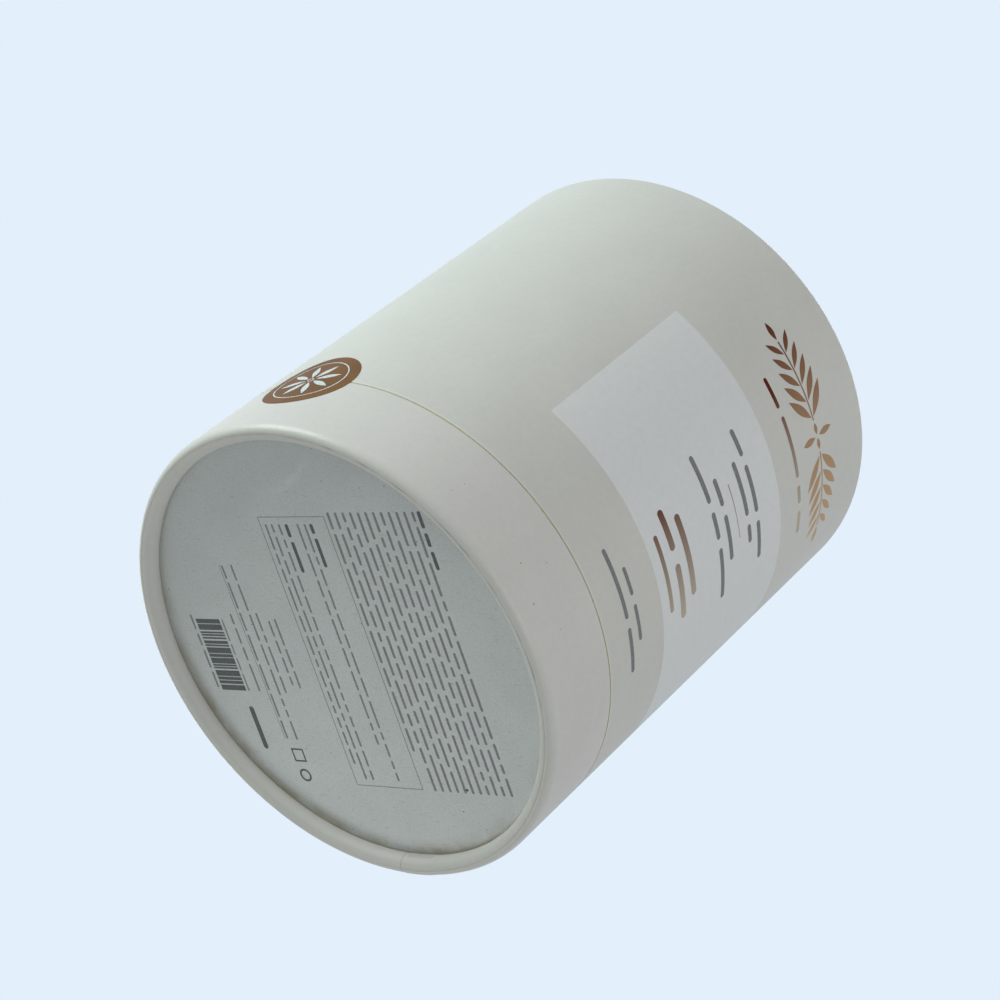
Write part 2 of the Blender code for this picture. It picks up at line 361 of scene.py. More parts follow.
def pearl_paper(half):
    """Fine even grain under a soft pearl gloss, burnished where the paper is drawn over the curl, with a
    painted tint there of the greenish light that falls on the curl. The lid's cut edge and the curl's
    inner edge are rubbed pale, which also paints in their highlight. It has slow changes of tone, a few
    dust specks, a thin line along the seam, and dark patches in the groove on the foot's crest: dirt
    where the foot has stood, and painted shade in the groove."""
    colour = WRAP_COLOURS[half]
    made = material(
        f"pearl_paper_{half}", colour, 0.55,
        Specular_IOR_Level=0.35, Coat_Weight=0.05, Coat_Roughness=0.45,
    )
    grain = noise(made, WRAP_GRAIN_SCALE, detail=4)
    grain_tone = spread(made, grain, 0.3, 0.7, 0, 0.33)
    mottle_tone = spread(made, noise(made, WRAP_MOTTLE_SCALE, detail=3), 0.3, 0.7, 0, 0.35)
    cloud_tone = spread(made, noise(made, WRAP_CLOUD_SCALE, detail=2), 0.35, 0.65, 0, 0.32)
    tone = maths(made, "ADD", maths(made, "ADD", grain_tone, mottle_tone), cloud_tone)
    spot = node(made, "ShaderNodeSeparateXYZ", {"Vector": place(made)}).outputs
    from_end = spot["Z"] if half == "base" else maths(made, "SUBTRACT", HEIGHT, spot["Z"])
    tones = []
    # A plain tone and a tone with the curl's painted light tint.
    for tint in ((1, 1, 1), CURL_PAINTED_LIGHT_TINT):
        light = tuple(part * share for part, share in zip(colour, tint))
        dark = tuple(WRAP_SHADE_SHARE * part for part in light)
        tones.append(blended(made, tone, light, dark))
    paper = blended(made, spread(made, from_end, 0, CURL_OUTER[half][1], 1, 0), *tones)
    dust = maths(made, "MULTIPLY", flecks(made, FLECK_SCALE, FLECK_REACH), FLECK_SHARE)
    paper = blended(made, dust, paper, FLECK_COLOUR)
    reach = from_axis(made)
    side = SEAM_ANGLE + SEAM_DRAWN
    line = band(
        made, maths(made, "ARCTAN2", spot["Y"], spot["X"]), side if half == "base" else -side, SEAM_LINE,
    )
    on_tube = maths(made, "GREATER_THAN", reach, RADIUS - CURL_WIDTH)
    # The curl's inner edge by the label is painted paler: rubbing, and a painted highlight on the lip.
    tucked = RADIUS - CURL_WIDTH
    lip = spread(made, reach, tucked, tucked + LIP_REACH, LIP_RUBBED_AND_HIGHLIGHT, 0)
    paper = blended(made, maths(made, "MULTIPLY", lip, on_tube), paper, RUBBED_AND_HIGHLIGHT_COLOUR)
    length = BASE_TOP if half == "base" else HEIGHT - LID_FOOT
    from_cut = maths(made, "SUBTRACT", length, from_end)
    # The lid's cut edge is painted paler: rubbing, and a painted highlight in place of a rounded edge.
    rubbed_and_highlight = spread(made, from_cut, 0, RUBBED_AND_HIGHLIGHT_REACH, RUBBED_AND_HIGHLIGHT[half], 0)
    paper = blended(made, rubbed_and_highlight, paper, RUBBED_AND_HIGHLIGHT_COLOUR)
    seam = maths(made, "MULTIPLY", line, on_tube)
    paper = blended(made, seam, paper, SEAM_COLOUR)
    # Dark patches in the crest's groove: dirt where the foot stood, and painted shade in the groove.
    crest = band(made, reach, CREST_DIRT_AND_SHADE_RING, CREST_DIRT_AND_SHADE_HALF)
    groove_band = maths(made, "MULTIPLY", crest, maths(made, "LESS_THAN", spot["Z"], CREST_DIRT_AND_SHADE_TOP))
    patches = spread(made, noise(made, CREST_DIRT_AND_SHADE_PATCH_SCALE, detail=5), 0.46, 0.68, 0.12, 0.8)
    towards_side = spread(made, along_side(made, CREST_DIRT_AND_SHADE_SIDE), 0, CREST_DIRT_AND_SHADE_REACH, 0.2, 1)
    dirt_and_shade = maths(made, "MULTIPLY", groove_band, maths(made, "MULTIPLY", patches, towards_side))
    wire(made, "Base Color", blended(made, dirt_and_shade, paper, CREST_DIRT_AND_SHADE_COLOUR))
    on_round = maths(made, "GREATER_THAN", reach, RADIUS - CURL_OUTER[half][0])
    drawn = spread(made, reach, RADIUS - BURNISH_RAMP, RADIUS, BURNISH, 0)
    rough = spread(made, noise(made, WRAP_SHEEN_SCALE), 0.3, 0.7, 0.5, 0.6)
    wire(made, "Roughness", maths(made, "SUBTRACT", rough, maths(made, "MULTIPLY", drawn, on_round)))
    relief(made, grain, WRAP_RELIEF)
    return made


PEARL = {half: pearl_paper(half) for half in WRAP_COLOURS}
for half, length in (("base", BASE_TOP), ("lid", HEIGHT - LID_FOOT)):
    shape = turned(curl(half, length, 0) + curl(half, length, PAPER)[::-1])
    lap_seam(shape)
    if half == "lid":
        turn_over(shape)
    wrap = new_object(f"{half}_wrap_paper", shape, PEARL[half])
    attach(wrap, half)
    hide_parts(f"{half}_wrap")


# The lid's top paper: a round of the same pearl paper, glued on the lid's disc behind the curl.
def sheet_disc(low, high, radius):
    """A flat round sheet between two heights."""
    return turned([(0, low), (radius, low), (radius, high), (0, high)], closed=False)


DISC_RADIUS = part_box("base_label")[1].x
top_low, top_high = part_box("lid_top_paper")
top_paper = new_object("lid_top_sheet", sheet_disc(top_low.z, top_high.z, DISC_RADIUS), PEARL["lid"])
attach(top_paper, "lid")
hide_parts("lid_top_paper")


# The label: a round of cool grey recycled paper on the underside disc, pressed to a low sheen, with fine
# specks and fibres and a faint scratch. One side of its edge is stained, and on that side a dark brown
# line runs along its edge at the curl.
LABEL_COLOUR = (0.530, 0.572, 0.546)
LABEL_SPECK = (0.376, 0.413, 0.392)
LABEL_FLECK = (0.25, 0.26, 0.25)
LABEL_SPECK_SCALE = 3400
LABEL_FIBRE_SCALE = 1900
LABEL_CLOUD_SCALE = 90
LABEL_FLECK_SCALE = 640
LABEL_FLECK_REACH = 0.16
LABEL_RELIEF = 0.000015
LABEL_SOIL = (0.33, 0.31, 0.23)
EDGE_LINE_COLOUR = (0.36, 0.32, 0.21)
SCRATCH_MIDDLE = (-0.0373, 0.0009, 0)
SCRATCH_TURN = math.radians(-124)
SCRATCH_HALF = 0.0105
SCRATCH_WIDTH = 0.0013
SCRATCH_SHARE = 0.26
SCRATCH_BREAK_SCALE = 700
SCRATCH_BOW = 18
SCRATCH_COLOUR = (0.80, 0.84, 0.83)
LABEL_EDGE = RADIUS - CURL_WIDTH
SOIL_WIDTH = 0.0036
SOIL_SIDE = math.radians(20)
SOIL_REACH = LABEL_EDGE * 0.8
STAIN_SCALE = 160
EDGE_LINE_WIDTH = 0.0005


def speckled_paper():
    """Recycled paper with specks, fibres and dark flecks, a faint scratch, and a stain at its edge."""
    made = material("speckled_paper", LABEL_COLOUR, 0.34, Specular_IOR_Level=0.7)
    speck = spread(made, noise(made, LABEL_SPECK_SCALE, detail=3), 0.44, 0.68)
    strands = noise(made, LABEL_FIBRE_SCALE, detail=2, stretch=(1, 0.25, 1))
    fibre = spread(made, strands, 0.6, 0.72, 0, 0.7)
    cloud = spread(made, noise(made, LABEL_CLOUD_SCALE, detail=3), 0.35, 0.7, 0, 0.22)
    tone = maths(made, "ADD", maths(made, "MAXIMUM", maths(made, "MULTIPLY", speck, 0.6), fibre), cloud)
    paper = blended(made, tone, LABEL_COLOUR, LABEL_SPECK)
    paper = blended(made, flecks(made, LABEL_FLECK_SCALE, LABEL_FLECK_REACH), paper, LABEL_FLECK)
    line = node(made, "ShaderNodeMapping", {
        "Vector": place(made), "Location": SCRATCH_MIDDLE, "Rotation": (0, 0, SCRATCH_TURN),
    }, vector_type="TEXTURE").outputs[0]
    along = node(made, "ShaderNodeSeparateXYZ", {"Vector": line}).outputs
    bow = maths(made, "MULTIPLY", maths(made, "MULTIPLY", along["X"], along["X"]), SCRATCH_BOW)
    scratch = maths(
        made, "MULTIPLY", band(made, maths(made, "ADD", along["Y"], bow), 0, SCRATCH_WIDTH),
        band(made, along["X"], 0, SCRATCH_HALF),
    )
    breaks = noise(made, SCRATCH_BREAK_SCALE)
    strength = spread(made, breaks, 0.3, 0.6, 0.4 * SCRATCH_SHARE, SCRATCH_SHARE)
    paper = blended(made, maths(made, "MULTIPLY", scratch, strength), paper, SCRATCH_COLOUR)
    edge = spread(made, from_axis(made), LABEL_EDGE - SOIL_WIDTH, LABEL_EDGE)
    spots = spread(made, noise(made, STAIN_SCALE, detail=6), 0.40, 0.60)
    stain = maths(made, "MULTIPLY", edge, spots)
    # A dark brown line along the label's edge at the curl, strongest on the stained side.
    edge_line = spread(made, from_axis(made), LABEL_EDGE - EDGE_LINE_WIDTH, LABEL_EDGE, 0, 0.9)
    share = spread(made, along_side(made, SOIL_SIDE), 0, SOIL_REACH, 0.1, 1)
    paper = blended(made, maths(made, "MULTIPLY", stain, share), paper, LABEL_SOIL)
    wire(made, "Base Color", blended(made, maths(made, "MULTIPLY", edge_line, share), paper, EDGE_LINE_COLOUR))
    relief(made, speck, LABEL_RELIEF)
    return made


label_low, label_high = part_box("base_label")
label_round = sheet_disc(label_low.z, label_high.z, DISC_RADIUS)
label = new_object("base_label_paper", label_round, speckled_paper())
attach(label, "base")
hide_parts("base_label")


# The label's print: small grey type, a ruled frame and two plain signs, with a bar block and a few
# headings in a heavier ink. Every word is a slim bar with round ends, and nothing here can be read.
INK_COLOUR = (0.235, 0.245, 0.245)
HEAVY_INK = (0.10, 0.11, 0.11)
INK_FILM = 0.00002
INK_COVER_SCALE = 3000
MM = 0.001
LABEL_TURN = math.radians(-5.05)
END_POINTS = 12
RING_STEPS = 48
BAR_SHARE = 0.58
WORD_SPACE = 1.35
TEXT_HEIGHT = 1.1
SMALL_HEIGHT = 0.85
HEADING_HEIGHT = 1.5
TEXT_LINES = 12
TEXT_LEFT = -30.2
TEXT_RIGHT = 31.2
TEXT_LAST_RIGHT = 22.3
TEXT_TOP = 29.7
TEXT_LEADING = 1.93
FRAME_BOX = (-29.4, 31.1, -10.3, 7.2)
FRAME_LINE = 0.14
FRAME_LEFT = -27.8
FRAME_LINES = ((1.5, 29.5), (-0.4, 21.2), (-5.3, 29.6), (-7.2, 29.6), (-8.8, 26.1))
FOOT_LINES = (
    (-16.0, -6.8, 9.0), (-17.8, -6.3, 8.3), (-20.5, -8.1, 10.3), (-22.4, -18.9, 21.2),
    (-25.0, -18.7, 21.1), (-27.8, -7.7, 10.1),
)
FOOT_RULE = (-18.7, 21.1, -25.75, -25.65)
HEADINGS = (
    (-30.3, -18.0, 31.2, 1, 10), (FRAME_LEFT, -18.4, 3.1, 31, 9), (FRAME_LEFT, -17.2, -3.4, 32, 11),
)
BLOCK_LEFT = -6.4
BLOCK_RIGHT = 10.1
BLOCK_STOP = 9.9
BLOCK_LOW = -38.3
BLOCK_HIGH = -31.6
BLOCK_BARS = (0.4, 0.7, 1.0, 1.3)
BLOCK_GAPS = (0.2, 0.3, 0.4)
ABOVE_BLOCK = -30.8
BELOW_BLOCK = (-7.4, 9.6, -39.3)
NUMBER_BAR = (13.8, 23.8, -32.1, 2.2)
SQUARE_SIGN = (23.3, 26.4, -25.2, -22.0)
SQUARE_LINE = 0.35
RING_SIGN = (3.0, 0.45, (29.6, -23.8))


def ink(name, colour):
    """Matt ink with a slightly uneven cover."""
    made = material(name, colour, 0.65, Specular_IOR_Level=0.3)
    thin = tuple(1.5 * part for part in colour)
    cover = spread(made, noise(made, INK_COVER_SCALE), 0.45, 0.75)
    wire(made, "Base Color", blended(made, cover, colour, thin))
    return made


def bar(shape, left, right, low, high):
    """A thin block of ink between two sides and two heights, in millimetres on the sheet."""
    size = Matrix.Diagonal(((right - left) * MM, (high - low) * MM, INK_FILM, 1))
    middle = Matrix.Translation(((left + right) / 2 * MM, (low + high) / 2 * MM, INK_FILM / 2))
    bmesh.ops.create_cube(shape, size=1, matrix=middle @ size)


def merge(shape, part):
    """Adds a finished part to a shape."""
    mesh = bpy.data.meshes.new("part")
    part.to_mesh(mesh)
    part.free()
    shape.from_mesh(mesh)
    bpy.data.meshes.remove(mesh)


def lozenge(shape, left, right, line, height):
    """A word as a slim bar of ink with round ends, in millimetres, about a line height."""
    part = bmesh.new()
    turn = Matrix.Rotation(math.pi / END_POINTS, 4, "Z")
    bmesh.ops.create_circle(
        part, cap_ends=True, segments=END_POINTS, radius=height / 2 * MM, matrix=turn,
    )
    reach = max(0, (right - left - height) / 2 * MM)
    for corner in part.verts:
        corner.co.x += math.copysign(reach, corner.co.x)
    bmesh.ops.solidify(part, geom=part.faces[:], thickness=INK_FILM)
    bmesh.ops.recalc_face_normals(part, faces=part.faces)
    lowest = min(corner.co.z for corner in part.verts)
    bmesh.ops.translate(part, vec=((left + right) / 2 * MM, line * MM, -lowest), verts=part.verts)
    merge(shape, part)


def words(shape, left, right, line, height, seed, letter=0.72, longest=10):
    """A line of type as slim bars of uneven length, one for each word, in millimetres."""
    draw = random.Random(seed)
    at = left
    while right - at > letter * 2:
        end = at + letter * draw.randint(3, longest)
        if right - end < letter * 4:
            end = right
        lozenge(shape, at, end, line, height * BAR_SHARE)
        at = end + letter * WORD_SPACE


def outline_box(shape, left, right, low, high, line):
    """Four thin rules round a field, in millimetres."""
    bar(shape, left, right, high - line, high)
    bar(shape, left, right, low, low + line)
    bar(shape, left, left + line, low + line, high - line)
    bar(shape, right - line, right, low + line, high - line)


def ring(shape, across, line, centre):
    """A flat ring of ink, in millimetres."""
    low, high = (across / 2 - line) * MM, across / 2 * MM
    part = turned([(low, 0), (high, 0), (high, INK_FILM), (low, INK_FILM)], steps=RING_STEPS)
    bmesh.ops.translate(part, vec=(centre[0] * MM, centre[1] * MM, 0), verts=part.verts)
    merge(shape, part)


shape = bmesh.new()
for row in range(TEXT_LINES):
    end = TEXT_LAST_RIGHT if row == TEXT_LINES - 1 else TEXT_RIGHT
    words(shape, TEXT_LEFT, end, TEXT_TOP - TEXT_LEADING * row, TEXT_HEIGHT, seed=10 + row)
outline_box(shape, *FRAME_BOX, FRAME_LINE)
for row, (line, end) in enumerate(FRAME_LINES):
    words(shape, FRAME_LEFT, end, line, SMALL_HEIGHT, seed=40 + row, letter=0.62)
for row, (line, left, right) in enumerate(FOOT_LINES):
    words(shape, left, right, line, SMALL_HEIGHT, seed=50 + row, letter=0.6)
bar(shape, *FOOT_RULE)
words(shape, BLOCK_LEFT, BLOCK_RIGHT, ABOVE_BLOCK, 0.6, seed=61, letter=0.5)
words(shape, *BELOW_BLOCK, 0.9, seed=62, letter=0.7)

heavy = bmesh.new()
for left, right, line, seed, longest in HEADINGS:
    words(heavy, left, right, line, HEADING_HEIGHT, seed=seed, longest=longest)
draw = random.Random(7)
at = BLOCK_LEFT
while at < BLOCK_STOP:
    wide = draw.choice(BLOCK_BARS)
    bar(heavy, at, min(at + wide, BLOCK_RIGHT), BLOCK_LOW, BLOCK_HIGH)
    at += wide + draw.choice(BLOCK_GAPS)
words(heavy, *NUMBER_BAR, seed=63, letter=1.45, longest=6)
outline_box(heavy, *SQUARE_SIGN, SQUARE_LINE)
ring(heavy, *RING_SIGN)

text_right = Vector((math.cos(LABEL_TURN), math.sin(LABEL_TURN), 0))
text_up = Vector((math.sin(LABEL_TURN), -math.cos(LABEL_TURN), 0))
seat = Matrix((text_right, text_up, (0, 0, -1))).transposed().to_4x4()
seat.translation = (0, 0, RECESS)
for name, part, colour in (("label_print", shape, INK_COLOUR), ("label_heavy_print", heavy, HEAVY_INK)):
    bmesh.ops.transform(part, matrix=seat, verts=part.verts)
    printed = new_object(name, part, ink(f"{name}_ink", colour))
    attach(printed, "base")


# A few dark specks of dust that cling to the base's wall and one to the label, each a tiny flat grain.
DUST_COLOUR = (0.09, 0.085, 0.08)
DUST_RISE = 0.00008
WALL_DUST = ((-115.0, 7.9, 0.28), (-106.5, 5.5, 0.30), (-111.4, 13.5, 0.22), (-98.0, 9.2, 0.2))
LABEL_DUST = ((30.4, 18.7, 0.75), (35.5, 15.8, 0.3), (-24.0, 28.4, 0.25))


def dust_grain(shape, spot, across):
    """A flat uneven grain, in millimetres across, that lies square to a spot's first axis."""
    size = Matrix.Diagonal((DUST_RISE, across * MM / 2, across * MM / 2.6, 1))
    bmesh.ops.create_icosphere(shape, subdivisions=2, radius=1, matrix=spot @ size)


shape = bmesh.new()
for row, height, across in WALL_DUST:
    turn = math.radians(row)
    spot = Matrix.Translation((RADIUS * math.cos(turn), RADIUS * math.sin(turn), height * MM))
    dust_grain(shape, spot @ Matrix.Rotation(turn, 4, "Z"), across)
for right, up, across in LABEL_DUST:
    spot = seat @ Matrix.Translation((right * MM, up * MM, INK_FILM))
    dust_grain(shape, spot @ Matrix.Rotation(math.pi / 2, 4, "Y"), across)
dust = new_object("base_dust_specks", shape, ink("dust", DUST_COLOUR))
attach(dust, "base")


# The printed front: a matt panel of white ink on the lid, and grey and bronze lines of type as slim
# bars. The bronze ones are stamped in foil, with a painted reflection that turns from dark to light
# across each block.
PANEL_COLOUR = (0.787, 0.812, 0.812)
PANEL_THIN = (0.760, 0.782, 0.780)
PANEL_EDGE_DEGREES = 46
PANEL_LOW = 39.3
PANEL_HIGH = 85.0
DEGREE = math.radians(1) * RADIUS / MM
GREY_INK = (0.19, 0.195, 0.195)
GREY_LINES = (
    (76.2, 16.8, 2.3), (72.7, 10.4, 2.3), (65.4, 10.4, 2.3), (61.7, 18.4, 2.3), (31.2, 9.1, 1.7),
    (28.0, 15.5, 1.9),
)
BRONZE_LINES = ((50.8, 10.2, 3.1), (46.7, 13.7, 3.1), (42.7, 9.7, 2.2))
TOP_LINE = (92.8, 20.8, 1.9)
RULE_DEGREES = 6.9
RULE_LOW = 68.9
RULE_HIGH = 69.1
# The foil's sweep from dark to light across each block is a painted reflection.
BRONZE_REFLECTION_DARK = (0.085, 0.012, 0.004)
BRONZE_REFLECTION_LIGHT = (0.58, 0.40, 0.24)
BRONZE_GLOSS = (0.70, 0.48, 0.34, 1)
BRONZE_REFLECTION_REACH = 0.026
LINES_REFLECTION_LIGHT = (0.48, 0.42, 0.33)
LINES_REFLECTION_REACH = 0.014
FOIL_RELIEF = 0.00001


def wrap_round(shape, facing):
    """Bends flat work, drawn to the right and up in metres, round the wall about a facing angle."""
    step = math.radians(1) * RADIUS
    reach = max(abs(corner.co.x) for corner in shape.verts)
    for index in range(-math.ceil(reach / step), math.ceil(reach / step) + 1):
        bmesh.ops.bisect_plane(
            shape, geom=shape.verts[:] + shape.edges[:] + shape.faces[:], dist=TOUCH / 10,
            plane_co=(index * step, 0, 0), plane_no=(1, 0, 0),
        )
    for corner in shape.verts:
        angle = facing + corner.co.x / RADIUS
        out = RADIUS + corner.co.z
        corner.co = (out * math.cos(angle), out * math.sin(angle), corner.co.y)
    bmesh.ops.recalc_face_normals(shape, faces=shape.faces)


def lid_print(name, shape, finish):
    """Puts flat print on the lid's front."""
    wrap_round(shape, -math.pi / 2)
    made = new_object(name, shape, finish)
    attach(made, "lid")
    return made


panel_ink = material("panel_ink", PANEL_COLOUR, 0.6, Specular_IOR_Level=0.35)
cover = spread(panel_ink, noise(panel_ink, WRAP_MOTTLE_SCALE, detail=3), 0.3, 0.7)
wire(panel_ink, "Base Color", blended(panel_ink, cover, PANEL_COLOUR, PANEL_THIN))
relief(panel_ink, noise(panel_ink, WRAP_GRAIN_SCALE, detail=4), WRAP_RELIEF)
shape = bmesh.new()
bar(shape, -PANEL_EDGE_DEGREES * DEGREE, PANEL_EDGE_DEGREES * DEGREE, PANEL_LOW, PANEL_HIGH)
lid_print("front_panel", shape, panel_ink)


def front_lines(shape, lines, seed, letter):
    """Lines of type about the front's middle, each at a height in millimetres, with half its width in
    degrees and the height of its type."""
    for row, (line, half, height) in enumerate(lines):
        words(shape, -half * DEGREE, half * DEGREE, line, height, seed=seed + row, letter=letter)


def lift_print(shape):
    """Moves flat print up by a film of ink, so that it lies on the panel."""
    bmesh.ops.translate(shape, vec=(0, 0, INK_FILM), verts=shape.verts)


shape = bmesh.new()
front_lines(shape, GREY_LINES, seed=70, letter=1.5)
lift_print(shape)
lid_print("front_grey_lines", shape, ink("grey_ink", GREY_INK))


def bronze_foil(name, reach, light):
    """Bronze foil with a painted reflection: dark red-brown at the left of the print and light bronze at
    the right.
    """
    made = material(name, light, 0.45, Metallic=0.8, Specular_Tint=BRONZE_GLOSS)
    across = node(made, "ShaderNodeSeparateXYZ", {"Vector": place(made)}).outputs["X"]
    share = spread(made, across, -reach, reach)
    # The dark-to-light sweep is a painted reflection.
    wire(made, "Base Color", blended(made, share, BRONZE_REFLECTION_DARK, light))
    relief(made, noise(made, WRAP_GRAIN_SCALE), FOIL_RELIEF)
    return made


shape = bmesh.new()
front_lines(shape, BRONZE_LINES, seed=90, letter=2.2)
bar(shape, -RULE_DEGREES * DEGREE, RULE_DEGREES * DEGREE, RULE_LOW, RULE_HIGH)
front_lines(shape, (TOP_LINE,), seed=95, letter=1.4)
lift_print(shape)
line_foil = bronze_foil("bronze_line_foil", LINES_REFLECTION_REACH, LINES_REFLECTION_LIGHT)
lid_print("front_bronze_lines", shape, line_foil)


# The sprig: the ornament above the panel, stamped in the same foil. A cross of four small leaves
# stands in the middle, with a stem and paired leaves to both sides of it.
SPRIG_MIDDLE = 102.5
STEM_START = 3.6
STEM_END = 22.0
STEM_HALF = 0.2
LEAF_PAIRS = 5
LEAF_STEP = 3.7
LEAF_LENGTH = 8.4
LEAF_SHORTER = 0.75
LEAF_WIDTH_SHARE = 0.25
LEAF_ANGLE = math.radians(42)
LEAF_CLEAR = 0.4
LEAF_START = 0.2
LEAF_POINTS = 12
END_LEAF = (4.4, 1.5)
CROSS_ARM = (2.6, 1.2)
CROSS_STAFF = (4.8, 1.6)


def leaf(shape, root, angle, length, width):
    """A pointed leaf of ink from its root along an angle, in millimetres."""
    part = bmesh.new()
    edge = []
    for side in (1, -1):
        for step in range(LEAF_POINTS):
            share = step / LEAF_POINTS
            if side < 0:
                share = 1 - share
            out = side * width / 2 * math.sin(math.pi * share)
            edge.append(part.verts.new((length * share, out, 0)))
    part.faces.new(edge)
    bmesh.ops.triangulate(part, faces=part.faces)
    bmesh.ops.scale(part, vec=(MM, MM, MM), verts=part.verts)
    bmesh.ops.solidify(part, geom=part.faces[:], thickness=INK_FILM)
    bmesh.ops.recalc_face_normals(part, faces=part.faces)
    lowest = min(corner.co.z for corner in part.verts)
    spot = Matrix.Translation((root[0] * MM, root[1] * MM, -lowest)) @ Matrix.Rotation(angle, 4, "Z")
    bmesh.ops.transform(part, matrix=spot, verts=part.verts)
    merge(shape, part)


shape = bmesh.new()
for way in (1, -1):
    near, far = sorted((way * STEM_START, way * STEM_END))
    bar(shape, near, far, SPRIG_MIDDLE - STEM_HALF, SPRIG_MIDDLE + STEM_HALF)
    for pair in range(LEAF_PAIRS):
        length = LEAF_LENGTH - LEAF_SHORTER * pair
        for lean in (1, -1):
            along = STEM_START + LEAF_STEP * (pair + LEAF_START)
            root = (way * along, SPRIG_MIDDLE + lean * LEAF_CLEAR)
            angle = lean * LEAF_ANGLE if way > 0 else math.pi - lean * LEAF_ANGLE
            leaf(shape, root, angle, length, length * LEAF_WIDTH_SHARE)
    outward = 0 if way > 0 else math.pi
    leaf(shape, (way * (STEM_END + LEAF_CLEAR), SPRIG_MIDDLE), outward, *END_LEAF)
    leaf(shape, (way * LEAF_CLEAR, SPRIG_MIDDLE), outward, *CROSS_ARM)
    leaf(shape, (0, SPRIG_MIDDLE + way * LEAF_CLEAR * 2), way * math.pi / 2, *CROSS_STAFF)
lid_print("front_sprig", shape, bronze_foil("bronze_foil", BRONZE_REFLECTION_REACH, BRONZE_REFLECTION_LIGHT))


# The seal: a round of copper foil over the parting line, slit there so that the lid can lift. A thin
# ring and a compass-drawn rosette are printed on it in pale ink.
SEAL_ANGLE = math.radians(173.8)
SEAL_ACROSS = 20.2
SEAL_FOIL = 0.00006
SEAL_SLIT = 0.02
FOIL_COLOUR = (0.225, 0.110, 0.030)
FOIL_SHADE = (0.185, 0.096, 0.030)
FOIL_GLOSS = (0.76, 0.66, 0.70, 1)
SEAL_INK = (0.60, 0.66, 0.67)
FOIL_CLOUD_SCALE = 140
FOIL_GRAIN_SCALE = 1500
SEAL_RING = 15.6
SEAL_LINE = 0.26
SEAL_STEPS = 96
SEAL_EYE = 1.43
PETALS = 8
PETAL_LENGTH = 5.4
PETAL_WIDTH = 1.35
PETAL_START = 1.1
PARTING = (BASE_TOP + LID_FOOT) / 2


def copper_foil():
    """Copper foil with a soft gloss and slow changes of tone."""
    made = material("copper_foil", FOIL_COLOUR, 0.42, Metallic=0.9, Specular_Tint=FOIL_GLOSS)
    cloud = spread(made, noise(made, FOIL_CLOUD_SCALE, detail=2), 0.4, 0.6)
    wire(made, "Base Color", blended(made, cloud, FOIL_COLOUR, FOIL_SHADE))
    relief(made, noise(made, FOIL_GRAIN_SCALE), FOIL_RELIEF)
    return made


def seal_halves(name, shape, finish, is_foil):
    """Slits flat work along the parting line, bends both halves on to the wall and makes them pieces."""
    for body, way in (("base", -1), ("lid", 1)):
        half = shape.copy()
        bmesh.ops.bisect_plane(
            half, geom=half.verts[:] + half.edges[:] + half.faces[:], dist=TOUCH / 10,
            plane_co=(0, way * SEAL_SLIT / 2 * MM, 0), plane_no=(0, -way, 0), clear_outer=True,
        )
        bmesh.ops.holes_fill(half, edges=[edge for edge in half.edges if edge.is_boundary])
        bmesh.ops.translate(half, vec=(0, PARTING, 0), verts=half.verts)
        wrap_round(half, SEAL_ANGLE)
        made = new_object(f"seal_{body}_{name}", half, finish)
        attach(made, body)
        if is_foil:
            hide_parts(f"seal_{body}_half")
    shape.free()


seal_reach = SEAL_ACROSS / 2 * MM
shape = bmesh.new()
bmesh.ops.create_cone(
    shape, cap_ends=True, segments=SEAL_STEPS, radius1=seal_reach, radius2=seal_reach,
    depth=SEAL_FOIL, matrix=Matrix.Translation((0, 0, SEAL_FOIL / 2)),
)
seal_halves("foil", shape, copper_foil(), True)

shape = bmesh.new()
ring(shape, SEAL_RING, SEAL_LINE, (0, 0))
ring(shape, SEAL_EYE, SEAL_LINE, (0, 0))
for petal in range(PETALS):
    angle = math.tau * (petal + 0.5) / PETALS
    root = (PETAL_START * math.cos(angle), PETAL_START * math.sin(angle))
    leaf(shape, root, angle, PETAL_LENGTH, PETAL_WIDTH)
bmesh.ops.translate(shape, vec=(0, 0, SEAL_FOIL), verts=shape.verts)
seal_halves("print", shape, ink("seal_ink", SEAL_INK), False)


# The neck's cover: white paper over the shoulder tube, turned in over its top edge and glued down
# inside. The lid slides on it.
LINING_COLOUR = (0.76, 0.755, 0.73)
LINING_SHADE = (0.70, 0.695, 0.67)
LINING_FIBRE_SCALE = 2200
LINING_RELIEF = 0.00002
NECK_ROUND = 0.0006
NECK_TURN_IN = 0.012


def white_lining():
    """Plain uncoated white paper with faint fibres."""
    made = material("white_lining", LINING_COLOUR, 0.75, Specular_IOR_Level=0.3)
    fibre = noise(made, LINING_FIBRE_SCALE, detail=5, stretch=(1, 1, 2))
    shade = spread(made, fibre, 0.35, 0.7)
    wire(made, "Base Color", blended(made, shade, LINING_COLOUR, LINING_SHADE))
    relief(made, fibre, LINING_RELIEF)
    return made


LINING = white_lining()
cover_low, cover_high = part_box("neck_cover")
outside = cover_high.x
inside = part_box("insert_card")[1].x + GLUE_LINE
turn_in = cover_high.z - NECK_TURN_IN
bend_height = cover_high.z - NECK_ROUND
bend_under = NECK_ROUND - PAPER
neck_side = [
    (outside, cover_low.z),
    *arc(outside - NECK_ROUND, bend_height, NECK_ROUND, NECK_ROUND, 0, 90),
    *arc(inside + NECK_ROUND, bend_height, NECK_ROUND, NECK_ROUND, 90, 180),
    (inside, turn_in),
]
neck_under = [
    (inside + PAPER, turn_in),
    *arc(inside + NECK_ROUND, bend_height, bend_under, bend_under, 180, 90),
    *arc(outside - NECK_ROUND, bend_height, bend_under, bend_under, 90, 0),
    (outside - PAPER, cover_low.z),
]
neck_cover = new_object("neck_cover_paper", turned(neck_side + neck_under), LINING)
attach(neck_cover, "base")
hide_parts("neck_cover")


